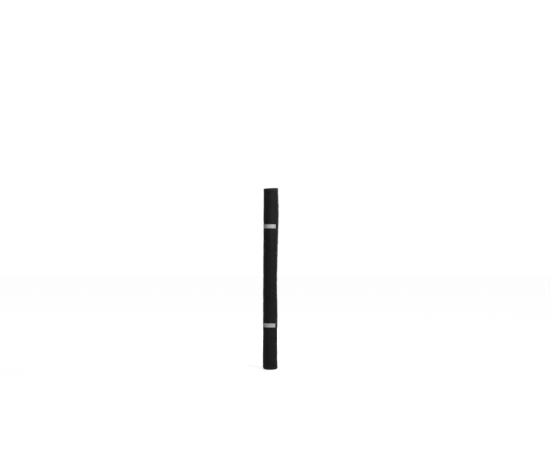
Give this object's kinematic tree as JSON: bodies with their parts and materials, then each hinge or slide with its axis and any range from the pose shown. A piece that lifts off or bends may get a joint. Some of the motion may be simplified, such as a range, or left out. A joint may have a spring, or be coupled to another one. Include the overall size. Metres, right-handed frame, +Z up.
{
  "type": "basketball pole pad",
  "caption": "Tall round foam pad that wraps a steel pole, in a coated black cover with two silver bands, closed at the back by hook-and-loop straps.",
  "frame": {"origin": "on the axis of the pole bore, at the pad's bottom end", "axes": "+Z up along the pole; -Y is the front, which faces the player; +X is to the right seen from above with the front at the bottom"},
  "size_m": [0.1288, 0.1383, 1.6],
  "materials": {
    "foam": "closed-cell foam",
    "cover": "matte coated fabric",
    "lining": "plain woven lining",
    "binding": "ribbed binding tape",
    "reflective_band": "satin silver reflective cloth",
    "webbing": "woven webbing",
    "hook": "hook tape",
    "loop": "loop tape"
  },
  "bodies": {
    "front_panel": {"front_foam_1": "foam", "front_foam_2": "foam", "front_foam_3": "foam", "front_foam_4": "foam", "front_foam_5": "foam", "front_foam_6": "foam", "front_skin": "cover", "front_lining": "lining", "front_top_end": "cover", "front_bottom_end": "cover", "front_top_binding": "binding", "front_bottom_binding": "binding", "upper_band": "reflective_band", "lower_band": "reflective_band"},
    "right_wing": {"right_foam_1": "foam", "right_foam_2": "foam", "right_foam_3": "foam", "right_skin": "cover", "right_lining": "lining", "right_top_end": "cover", "right_bottom_end": "cover", "right_top_binding": "binding", "right_bottom_binding": "binding", "strap_1_anchor": "webbing", "strap_2_anchor": "webbing", "strap_3_anchor": "webbing", "strap_4_anchor": "webbing", "strap_5_anchor": "webbing"},
    "left_wing": {"left_foam_1": "foam", "left_foam_2": "foam", "left_foam_3": "foam", "left_skin": "cover", "left_lining": "lining", "left_top_end": "cover", "left_bottom_end": "cover", "left_top_binding": "binding", "left_bottom_binding": "binding", "strap_1_loop": "loop", "strap_2_loop": "loop", "strap_3_loop": "loop", "strap_4_loop": "loop", "strap_5_loop": "loop"},
    "strap_1": {"strap_1_tail": "webbing", "strap_1_hook": "hook"},
    "strap_2": {"strap_2_tail": "webbing", "strap_2_hook": "hook"},
    "strap_3": {"strap_3_tail": "webbing", "strap_3_hook": "hook"},
    "strap_4": {"strap_4_tail": "webbing", "strap_4_hook": "hook"},
    "strap_5": {"strap_5_tail": "webbing", "strap_5_hook": "hook"}
  },
  "joints": [
    {"name": "right_wing_open", "type": "hinge", "parent": "front_panel", "child": "right_wing", "pos_m": [0.06361, 0.01236, 0], "axis": [0, 0, -1], "range_deg": [0, 100]},
    {"name": "left_wing_open", "type": "hinge", "parent": "front_panel", "child": "left_wing", "pos_m": [-0.06361, 0.01236, 0], "axis": [0, 0, 1], "range_deg": [0, 100]},
    {"name": "strap_1_peel", "type": "hinge", "parent": "right_wing", "child": "strap_1", "pos_m": [0.00419, 0.06629, 0.15], "axis": [0, 0, -1], "range_deg": [0, 130]},
    {"name": "strap_2_peel", "type": "hinge", "parent": "right_wing", "child": "strap_2", "pos_m": [0.00418, 0.06621, 0.475], "axis": [0, 0, -1], "range_deg": [0, 130]},
    {"name": "strap_3_peel", "type": "hinge", "parent": "right_wing", "child": "strap_3", "pos_m": [0.00385, 0.06098, 0.8], "axis": [0, 0, -1], "range_deg": [0, 130]},
    {"name": "strap_4_peel", "type": "hinge", "parent": "right_wing", "child": "strap_4", "pos_m": [0.00429, 0.06791, 1.125], "axis": [0, 0, -1], "range_deg": [0, 130]},
    {"name": "strap_5_peel", "type": "hinge", "parent": "right_wing", "child": "strap_5", "pos_m": [0.00456, 0.07222, 1.45], "axis": [0, 0, -1], "range_deg": [0, 130]}
  ],
  "couplings": [
    {"joint": "left_wing_open", "follows": "right_wing_open", "ratio": 1}
  ]
}
